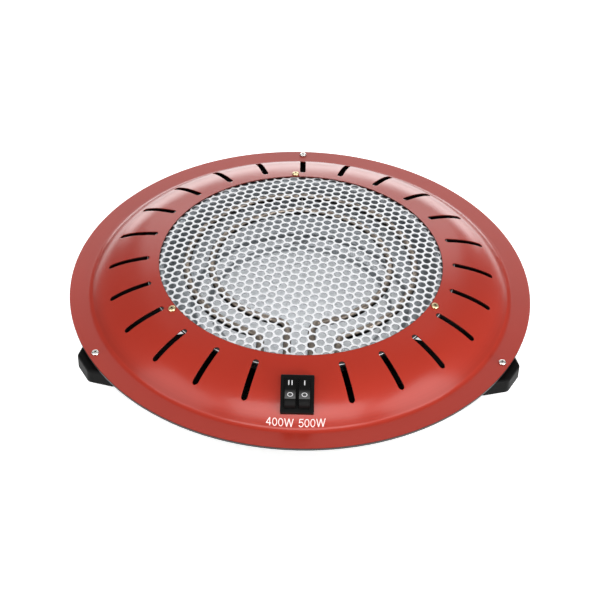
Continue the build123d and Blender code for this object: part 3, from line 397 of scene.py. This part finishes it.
def element_material():
    """Heat-dulled steel sheath: a warm oxide in patches, and a dark tone for its shaded underside."""
    material, shader = new_material("element_tube", (0.36, 0.31, 0.26), 0.32, metallic=0.9)
    tone = object_noise(material, 70.0, 5.0)
    shade = color_between(material, tone, (0.36, 0.30, 0.25), (0.52, 0.44, 0.37))
    shade = mix_colors(material, top_side(material, 0.25, 0.85), (0.020, 0.018, 0.017), shade)
    material.node_tree.links.new(shade, shader.inputs["Base Color"])
    add_bump(material, shader, object_noise(material, 1500.0, 2.0), 0.10, 0.0001)
    return material


def steel_material(name, color, roughness, recess=0.0):
    material, shader = new_material(name, color, roughness, metallic=1.0)
    low = tuple(c * 0.85 for c in color)
    shade = color_between(material, object_noise(material, 500.0, 3.0), low, color)
    if recess:
        # Painted shade in the recess of the screw's cross.
        shade = recess_shade(material, shade, recess)
    material.node_tree.links.new(shade, shader.inputs["Base Color"])
    rough = value_between(material, object_noise(material, 900.0, 3.0), roughness * 0.8, roughness * 1.3)
    material.node_tree.links.new(rough, shader.inputs["Roughness"])
    return material


def plastic_material(name, color, roughness, grain=0.06, specular=0.5):
    material, shader = new_material(name, color, roughness, specular=specular)
    low = tuple(c * 0.8 for c in color)
    high = tuple(min(1.0, c * 1.15) for c in color)
    shade = color_between(material, object_noise(material, 90.0, 3.0), low, high)
    material.node_tree.links.new(shade, shader.inputs["Base Color"])
    add_bump(material, shader, object_noise(material, 2600.0, 2.0), grain, 0.0001)
    return material


def rocker_material():
    """Black plastic; the paler tone on the raised end of its face stands for the sheen there."""
    material = plastic_material("rocker_black", (0.004, 0.004, 0.004), 0.32, grain=0.04, specular=0.12)
    shader = material.node_tree.nodes["Principled BSDF"]
    links = material.node_tree.links
    coords = add_node(material, "ShaderNodeTexCoord")
    parts = add_node(material, "ShaderNodeSeparateXYZ")
    both = add_node(material, "ShaderNodeMath", operation="MULTIPLY")
    links.new(coords.outputs["Object"], parts.inputs[0])
    middle = middle_y - switch_radius
    sheen = value_between(material, parts.outputs["Y"], 0.0, 1.0, middle - 0.001, middle - 0.0100)
    links.new(sheen, both.inputs[0])
    links.new(top_side(material, 0.80, 0.92), both.inputs[1])
    plain = shader.inputs["Base Color"].links[0].from_socket
    shade = mix_colors(material, both.outputs[0], plain, (0.10, 0.10, 0.10))
    links.new(shade, shader.inputs["Base Color"])
    return material


def mark_material(name, color):
    material, shader = new_material(name, color, 0.5)
    low = tuple(c * 0.95 for c in color)
    shade = color_between(material, object_noise(material, 1200.0, 2.0), low, color)
    material.node_tree.links.new(shade, shader.inputs["Base Color"])
    return material


matt_black = (0.003, 0.003, 0.003)
cross_depth = 0.0012
materials = {
    "cover_paint": paint_material(),
    "grille_silver": grille_material(),
    "reflector_bright": reflector_material(),
    "element_tube": element_material(),
    "pan_paint": plastic_material("pan_paint", (0.012, 0.012, 0.012), 0.45, grain=0.10),
    "foot_black": plastic_material("foot_black", matt_black, 0.50, grain=0.05, specular=0.07),
    "switch_black": plastic_material("switch_black", matt_black, 0.45, grain=0.05, specular=0.10),
    "rocker_black": rocker_material(),
    "screw_nickel": steel_material("screw_nickel", (0.80, 0.79, 0.76), 0.22, recess=cross_depth),
    "screw_brass": steel_material("screw_brass", (0.80, 0.66, 0.38), 0.30, recess=cross_depth),
    "contact_brass": steel_material("contact_brass", (0.80, 0.58, 0.24), 0.30),
    "zinc_steel": steel_material("zinc_steel", (0.66, 0.67, 0.68), 0.32),
    "ceramic_white": plastic_material("ceramic_white", (0.80, 0.77, 0.70), 0.55),
    "cutout_body": plastic_material("cutout_body", (0.020, 0.018, 0.016), 0.45),
    "block_white": plastic_material("block_white", (0.74, 0.72, 0.66), 0.45),
    "bush_black": plastic_material("bush_black", (0.012, 0.012, 0.012), 0.60, grain=0.10),
    "lead_brown": plastic_material("lead_brown", (0.030, 0.012, 0.006), 0.50),
    "lead_black": plastic_material("lead_black", (0.010, 0.010, 0.010), 0.50),
    "lead_blue": plastic_material("lead_blue", (0.006, 0.010, 0.040), 0.50),
    "lead_green": plastic_material("lead_green", (0.020, 0.050, 0.012), 0.50),
}
mark_white = mark_material("mark_white", (0.72, 0.72, 0.73))
label_white = mark_material("label_white", (0.84, 0.64, 0.62))
node_slots = {part["node"]: part["material_slot"] for part in frame["record"]["subparts"]}


def dress(node):
    obj = nodes[node]
    material = materials[node_slots[node]]
    if not obj.material_slots:
        obj.data.materials.append(material)
    for slot in obj.material_slots:
        slot.material = material


for node in nodes:
    dress(node)
# The terminal block is dressed in the near-black cutout_body material rather than its own pale one:
# painted shade, as it lies in the dark under the cover.
for slot in nodes["terminal_block"].material_slots:
    slot.material = materials["cutout_body"]


# Pieces

def add_piece(name, mesh, material, body, angle=None):
    """Put a mesh into the scene as a piece; its faces are smooth where they meet under the angle."""
    mesh.materials.clear()
    mesh.materials.append(material)
    if angle is not None:
        mesh.shade_smooth()
        mesh.set_sharp_from_angle(angle=math.radians(angle))
    obj = bpy.data.objects.new(name, mesh)
    scene.collection.objects.link(obj)
    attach(obj, body)
    return obj


def to_mesh(name, bm):
    bmesh.ops.recalc_face_normals(bm, faces=bm.faces)
    mesh = bpy.data.meshes.new(name)
    bm.to_mesh(mesh)
    bm.free()
    return mesh


def thicken(obj, thickness, bevel):
    """Give a skin its sheet thickness, inwards, and round the edges of the sheet."""
    solid = obj.modifiers.new("sheet", "SOLIDIFY")
    solid.thickness = thickness
    solid.offset = -1.0
    solid.use_even_offset = True
    edge = obj.modifiers.new("edge", "BEVEL")
    edge.width = bevel
    edge.segments = 2
    edge.limit_method = "ANGLE"
    edge.angle_limit = math.radians(50.0)
    normals = obj.modifiers.new("normals", "WEIGHTED_NORMAL")
    normals.keep_sharp = False


# Cover

def line_points(start, end, parts):
    """Points from start up to, but not at, end."""
    return [Vector(start).lerp(Vector(end), i / parts) for i in range(parts)]


def slot_outline():
    """Slot in plan, its length along x; x is the radius."""
    half = slot_width / 2
    inner = slot_inner_radius + half
    outer = slot_outer_radius - half
    points = line_points((inner, -half), (outer, -half), 12)
    for i in range(14):
        turn = math.pi * (i / 14 - 0.5)
        points.append(Vector((outer + half * math.cos(turn), half * math.sin(turn))))
    points += line_points((outer, half), (inner, half), 12)
    for i in range(14):
        turn = math.pi * (i / 14 + 0.5)
        points.append(Vector((inner + half * math.cos(turn), half * math.sin(turn))))
    return points


def switch_outline():
    """Cut-out for the switch in plan, in the same frame as a slot."""
    slope = dome_slope(switch_radius)
    reach = body_length / 2 * math.cos(slope)
    left = switch_offset - body_width / 2
    right = switch_offset + body_width / 2
    corners = [(switch_radius - reach, left), (switch_radius + reach, left),
               (switch_radius + reach, right), (switch_radius - reach, right)]
    points = []
    for corner, following in zip(corners, corners[1:] + corners[:1]):
        points += line_points(corner, following, 12)
    return points


def inside(point, outline):
    hit = False
    for a, b in zip(outline, outline[1:] + outline[:1]):
        if (a.y > point.y) != (b.y > point.y):
            if point.x < a.x + (point.y - a.y) / (b.y - a.y) * (b.x - a.x):
                hit = not hit
    return hit


def cover_rows():
    """Radii of the rows of points, closer together in the fold."""
    rows = [open_radius + (fold_start - open_radius) * i / 24 for i in range(24)]
    rows += [fold_start + (fold_end - fold_start) * i / 8 for i in range(8)]
    rows += [fold_end + (rim_radius - fold_end) * i / 5 for i in range(6)]
    return rows


def cover_sector(outline):
    """Points and triangles of one sector about the x axis, with its opening left out."""
    half_angle = math.pi / slot_places
    middle = (slot_inner_radius + slot_outer_radius) / 2
    columns = 12
    room = 0.0007
    flat = [Vector((math.hypot(p.x, p.y), math.atan2(p.y, p.x) * middle)) for p in outline]
    edges = [(i, (i + 1) % len(flat)) for i in range(len(flat))]
    for radius in cover_rows():
        for i in range(columns + 1):
            turn = half_angle * (2 * i / columns - 1)
            spot = Vector((radius * math.cos(turn), radius * math.sin(turn)))
            if not inside(spot, outline) and min((spot - p).length for p in outline) > room:
                flat.append(Vector((radius, turn * middle)))
    verts, _, faces, _, _, _ = delaunay_2d_cdt(flat, edges, [], 0, 1e-7)
    points = []
    for v in verts:
        turn = v.y / middle
        points.append(Vector((v.x * math.cos(turn), v.x * math.sin(turn), cover_top(v.x))))
    kept = []
    for face in faces:
        centre = sum((points[i] for i in face), Vector()) / len(face)
        if not inside(centre, outline):
            kept.append(face)
    return points, kept


def build_cover():
    """Pressed cover: domed ring with slots and a cut-out for the switch, fold and flat rim."""
    bm = bmesh.new()
    slotted = cover_sector(slot_outline())
    cut = cover_sector(switch_outline())
    front = round(slot_places * 0.75)
    for place in range(slot_places):
        points, faces = cut if place == front else slotted
        turn = Matrix.Rotation(2 * math.pi * place / slot_places, 4, "Z")
        shift = Matrix.Translation((0, middle_y, 0))
        verts = [bm.verts.new(shift @ turn @ p) for p in points]
        for face in faces:
            bm.faces.new([verts[i] for i in face])
    bmesh.ops.remove_doubles(bm, verts=bm.verts, dist=1e-6)
    mesh = to_mesh("cover", bm)
    cover = add_piece("cover", mesh, materials["cover_paint"], "heater", 180.0)
    thicken(cover, cover_sheet, edge_round)
    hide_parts("top_cover")


# Reflector

def rounded_line(corners, steps=6):
    """Open line through (radius, height, rounding) corners, each rounded by an arc."""
    spots = [Vector(c[:2]) for c in corners]
    line = [spots[0]]
    for i in range(1, len(spots) - 1):
        before = (spots[i - 1] - spots[i]).normalized()
        after = (spots[i + 1] - spots[i]).normalized()
        half = before.angle(after) / 2
        rounding = corners[i][2]
        reach = rounding / math.tan(half)
        centre = spots[i] + (before + after).normalized() * rounding / math.sin(half)
        start = spots[i] + before * reach - centre
        turn = start.angle_signed(spots[i] + after * reach - centre)
        for k in range(steps + 1):
            line.append(centre + Matrix.Rotation(-turn * k / steps, 2) @ start)
    return line + [spots[-1]]


def spin(name, line, count=240):
    """Skin that a line in (radius, height) sweeps about the heater's axis."""
    bm = bmesh.new()
    rings = []
    for spot in line:
        if spot.x < 1e-6:
            rings.append([bm.verts.new((0, middle_y, spot.y))])
            continue
        turns = [2 * math.pi * i / count for i in range(count)]
        rings.append([bm.verts.new((spot.x * math.cos(a), middle_y + spot.x * math.sin(a), spot.y))
                      for a in turns])
    for inner, outer in zip(rings, rings[1:]):
        for i in range(count):
            after = (i + 1) % count
            if len(inner) == 1:
                bm.faces.new((inner[0], outer[i], outer[after]))
            else:
                bm.faces.new((inner[i], outer[i], outer[after], inner[after]))
    return to_mesh(name, bm)


def build_reflector():
    """Spun dish: flat disc, raised ring, steep wall and the flange under the cover."""
    lip_radius = wall_head_radius + 0.0012
    corners = [
        (0.0, reflector_floor, 0.0),
        (disc_radius, reflector_floor, 0.0016),
        (disc_radius + step_rise, reflector_floor + step_rise, 0.0016),
        (ring_radius, reflector_floor + step_rise, 0.003),
        (wall_foot_radius, reflector_floor + wall_foot_rise, 0.003),
        (wall_head_radius, dome_top(lip_radius) - flange_drop - 0.0005, 0.0006),
        (lip_radius, dome_top(lip_radius) - flange_drop, 0.0006),
        (flange_radius, dome_top(flange_radius) - flange_drop, 0.0),
    ]
    mesh = spin("dish", rounded_line(corners))
    dish = add_piece("dish", mesh, materials["reflector_bright"], "heater", 180.0)
    thicken(dish, reflector_sheet, 0.0001)
    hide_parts("reflector")


# Switch

def soften(node, width, angle=30.0):
    """Copy of a CAD node's shape with its sharp edges rounded; it stands for the node."""
    bm = bmesh.new()
    bm.from_mesh(nodes[node].data)
    bmesh.ops.remove_doubles(bm, verts=bm.verts, dist=2e-6)
    bmesh.ops.dissolve_limit(bm, angle_limit=math.radians(1.0), verts=bm.verts, edges=bm.edges)
    mesh = to_mesh(node + "_moulding", bm)
    slot = node_slots[node]
    body = nodes[node]["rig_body"]
    piece = add_piece(node + "_moulding", mesh, materials[slot], body, angle)
    edge = piece.modifiers.new("edge", "BEVEL")
    edge.width = width
    edge.segments = 3
    edge.limit_method = "ANGLE"
    edge.angle_limit = math.radians(angle)
    normals = piece.modifiers.new("normals", "WEIGHTED_NORMAL")
    normals.keep_sharp = False
    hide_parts(node)


def switch_frame():
    """Frame on the dome at the switch: x to the right, y up the slope, z outwards."""
    slope = dome_slope(switch_radius)
    out = Vector((0, -math.sin(slope), math.cos(slope)))
    along = Vector((1, 0, 0))
    turn = Matrix((along, out.cross(along), out)).transposed().to_4x4()
    spot = Vector((switch_offset, middle_y - switch_radius, dome_top(switch_radius)))
    return Matrix.Translation(spot) @ turn


def rocker_frame(side):
    """Frame at a rocker's pivot as it rests, with its I end pressed."""
    pivot = Matrix.Translation((side * rocker_spacing / 2, 0, pivot_height))
    return switch_frame() @ pivot @ Matrix.Rotation(-rocker_throw, 4, "X")


def flat_solid(name, outlines, thickness):
    """Flat mesh of closed outlines, the ones inside others as holes, with a thickness."""
    curve = bpy.data.curves.new(name, "CURVE")
    curve.dimensions = "2D"
    curve.fill_mode = "BOTH"
    curve.extrude = thickness / 2
    for outline in outlines:
        spline = curve.splines.new("POLY")
        spline.points.add(len(outline) - 1)
        for point, spot in zip(spline.points, outline):
            point.co = (spot[0], spot[1], 0.0, 1.0)
        spline.use_cyclic_u = True
    holder = bpy.data.objects.new(name, curve)
    mesh = bpy.data.meshes.new_from_object(holder)
    bpy.data.objects.remove(holder)
    bpy.data.curves.remove(curve)
    bm = bmesh.new()
    bm.from_mesh(mesh)
    bpy.data.meshes.remove(mesh)
    bmesh.ops.remove_doubles(bm, verts=bm.verts, dist=1e-7)
    return to_mesh(name, bm)


def arc(centre, radius_x, radius_y, start, end, parts):
    """Points of an ellipse's arc, in degrees."""
    points = []
    for i in range(parts + 1):
        turn = math.radians(start + (end - start) * i / parts)
        points.append((centre[0] + radius_x * math.cos(turn), centre[1] + radius_y * math.sin(turn)))
    return points


def ring_outlines(middle, radius, stroke):
    outer = arc(middle, radius, radius, 0, 352.5, 47)
    inner = arc(middle, radius - stroke, radius - stroke, 0, 352.5, 47)
    return [outer, inner[::-1]]


def bar_outline(middle, width, length):
    half = width / 2
    low = middle[1] - length / 2 + half
    high = middle[1] + length / 2 - half
    return arc((middle[0], high), half, half, 0, 180, 8) + arc((middle[0], low), half, half, 180, 360, 8)


def rocker_marks(body, side, bars):
    """Printed marks of one rocker: bars on the end that is pressed for on, a ring on the other."""
    tilt = math.atan2(rocker_end_height - rocker_middle_height, rocker_end_y)
    thickness = 0.00006
    on_outlines = [bar_outline((x, 0.0057), 0.00068, 0.0046) for x in bars]
    off_outlines = ring_outlines((0.0, -0.0059), 0.0022, 0.00055)
    for name, outlines, end in (("on_mark", on_outlines, 1), ("off_mark", off_outlines, -1)):
        mesh = flat_solid(body + "_" + name, outlines, thickness)
        lift = Matrix.Translation((0, 0, rocker_middle_height + thickness * 0.4))
        mesh.transform(rocker_frame(side) @ lift @ Matrix.Rotation(end * tilt, 4, "X"))
        add_piece(body + "_" + name, mesh, mark_white, body, 30.0)


# Lettering

def glyph(mark):
    """Outlines of a character one unit tall, and its width."""
    if mark == "0":
        outer = arc((0.35, 0.5), 0.33, 0.5, 0, 352.5, 47)
        inner = arc((0.35, 0.5), 0.225, 0.40, 0, 352.5, 47)
        return [outer, inner[::-1]], 0.70
    if mark == "4":
        outer = [(0.44, 0.0), (0.555, 0.0), (0.555, 0.24), (0.70, 0.24), (0.70, 0.345), (0.555, 0.345),
                 (0.555, 1.0), (0.44, 1.0), (0.01, 0.345), (0.01, 0.24), (0.44, 0.24)]
        return [outer, [(0.44, 0.345), (0.14, 0.345), (0.44, 0.80)]], 0.71
    if mark == "5":
        outer = arc((0.335, 0.335), 0.335, 0.335, 200, 480, 28)
        outer += [(0.20, 0.895), (0.63, 0.895), (0.63, 1.0), (0.12, 1.0), (0.04, 0.49), (0.14, 0.47)]
        outer += arc((0.335, 0.335), 0.23, 0.23, 480 - 355, 200 - 360, 28)
        return [outer], 0.68
    outer = [(0.01, 1.0), (0.13, 1.0), (0.345, 0.20), (0.575, 1.0), (0.695, 1.0), (0.925, 0.20),
             (1.14, 1.0), (1.26, 1.0), (0.985, 0.0), (0.865, 0.0), (0.635, 0.79), (0.405, 0.0),
             (0.285, 0.0)]
    return [outer], 1.27


def divide(mesh, largest):
    """Cut long edges, so that flat letters can follow a curved face."""
    bm = bmesh.new()
    bm.from_mesh(mesh)
    bmesh.ops.triangulate(bm, faces=bm.faces)
    for _ in range(3):
        long_edges = [e for e in bm.edges if e.calc_length() > largest]
        if not long_edges:
            break
        bmesh.ops.subdivide_edges(bm, edges=long_edges, cuts=1)
        bmesh.ops.triangulate(bm, faces=bm.faces)
    bm.to_mesh(mesh)
    bm.free()


def cover_label(name, words, left_x, right_x, low_radius, high_radius):
    """Printed rating that lies on the front of the dome, read from the front."""
    outlines = []
    pen = 0.0
    for mark in words:
        shapes, width = glyph(mark)
        outlines += [[(x + pen, y) for x, y in shape] for shape in shapes]
        pen += width + 0.09
    pen -= 0.09
    thickness = 0.00006
    mesh = flat_solid(name, outlines, thickness)
    divide(mesh, 0.3)
    mesh.validate()
    for v in mesh.vertices:
        x = left_x + v.co.x / pen * (right_x - left_x)
        radius = low_radius + v.co.y * (high_radius - low_radius)
        y = -math.sqrt(radius**2 - x**2)
        v.co = Vector((x, middle_y + y, cover_top(radius) + v.co.z + thickness * 0.4))
    add_piece(name, mesh, label_white, "heater", 30.0)


build_cover()
build_reflector()
soften("switch_housing", 0.0003)
soften("rocker_400w", 0.0003)
soften("rocker_500w", 0.0003)
rocker_marks("rocker_400w", -1, (-0.00125, 0.00125))
rocker_marks("rocker_500w", 1, (0.0,))
cover_label("label_400w", "400W", -0.0242, -0.0029, 0.1748, 0.1702)
cover_label("label_500w", "500W", 0.0008, 0.0215, 0.1748, 0.1702)


# Stage

def lay_floor():
    """White floor, seen white by the camera and in reflections; it still takes the object's shadow."""
    mesh = bpy.data.meshes.new("floor")
    reach = 6.0
    mesh.from_pydata([(-reach, -reach, 0), (reach, -reach, 0), (reach, reach, 0), (-reach, reach, 0)], [],
                     [(0, 1, 2, 3)])
    material, shader = new_material("floor_pale", (0.90, 0.90, 0.90), 0.8)
    links = material.node_tree.links
    path = add_node(material, "ShaderNodeLightPath")
    seen = add_node(material, "ShaderNodeMath", operation="MAXIMUM")
    either = add_node(material, "ShaderNodeMath", operation="MAXIMUM")
    glow = add_node(material, "ShaderNodeMath", operation="MULTIPLY")
    glow.inputs[1].default_value = 0.72
    links.new(path.outputs["Is Camera Ray"], seen.inputs[0])
    links.new(path.outputs["Is Glossy Ray"], seen.inputs[1])
    links.new(seen.outputs[0], either.inputs[0])
    links.new(path.outputs["Is Transmission Ray"], either.inputs[1])
    links.new(either.outputs[0], glow.inputs[0])
    links.new(glow.outputs[0], shader.inputs["Emission Strength"])
    shader.inputs["Emission Color"].default_value = (1.0, 1.0, 1.0, 1.0)
    mesh.materials.append(material)
    floor = bpy.data.objects.new("floor", mesh)
    scene.collection.objects.link(floor)


light_distance = 3.0
light_target = Vector((0, 0, 0.05))


def add_light(name, azimuth, elevation, width, height, power):
    """Softbox three metres from the heater; azimuth 270 is the side of the switch."""
    data = bpy.data.lights.new(name, "AREA")
    data.shape = "RECTANGLE"
    data.size = width
    data.size_y = height
    data.energy = power
    light = bpy.data.objects.new(name, data)
    turn = math.radians(azimuth)
    rise = math.radians(elevation)
    away = Vector((math.cos(rise) * math.cos(turn), math.cos(rise) * math.sin(turn), math.sin(rise)))
    light.location = light_distance * away
    light.rotation_euler = (light_target - light.location).to_track_quat("-Z", "Y").to_euler()
    scene.collection.objects.link(light)


def light_studio():
    world = bpy.data.worlds.new("studio")
    world.use_nodes = True
    background = world.node_tree.nodes["Background"]
    background.inputs["Color"].default_value = (1.0, 1.0, 1.0, 1.0)
    background.inputs["Strength"].default_value = 0.2
    scene.world = world
    add_light("back_low", 90, 6.5, 3.4, 0.66, 24.0)
    add_light("back_middle", 90, 30.0, 2.6, 1.15, 17.0)
    add_light("back_high", 90, 52.0, 2.6, 0.8, 2.8)
    add_light("front_low_left", 228, 6.5, 2.2, 0.66, 45.0)
    add_light("front_low_right", 312, 6.5, 2.2, 0.66, 80.0)
    add_light("front_high", 270, 62.0, 2.6, 1.1, 43.0)
    add_light("left", 200, 40.0, 1.6, 1.6, 20.0)
    add_light("right", 340, 40.0, 1.6, 1.6, 32.0)


lay_floor()
light_studio()
scene.view_settings.view_transform = "Standard"
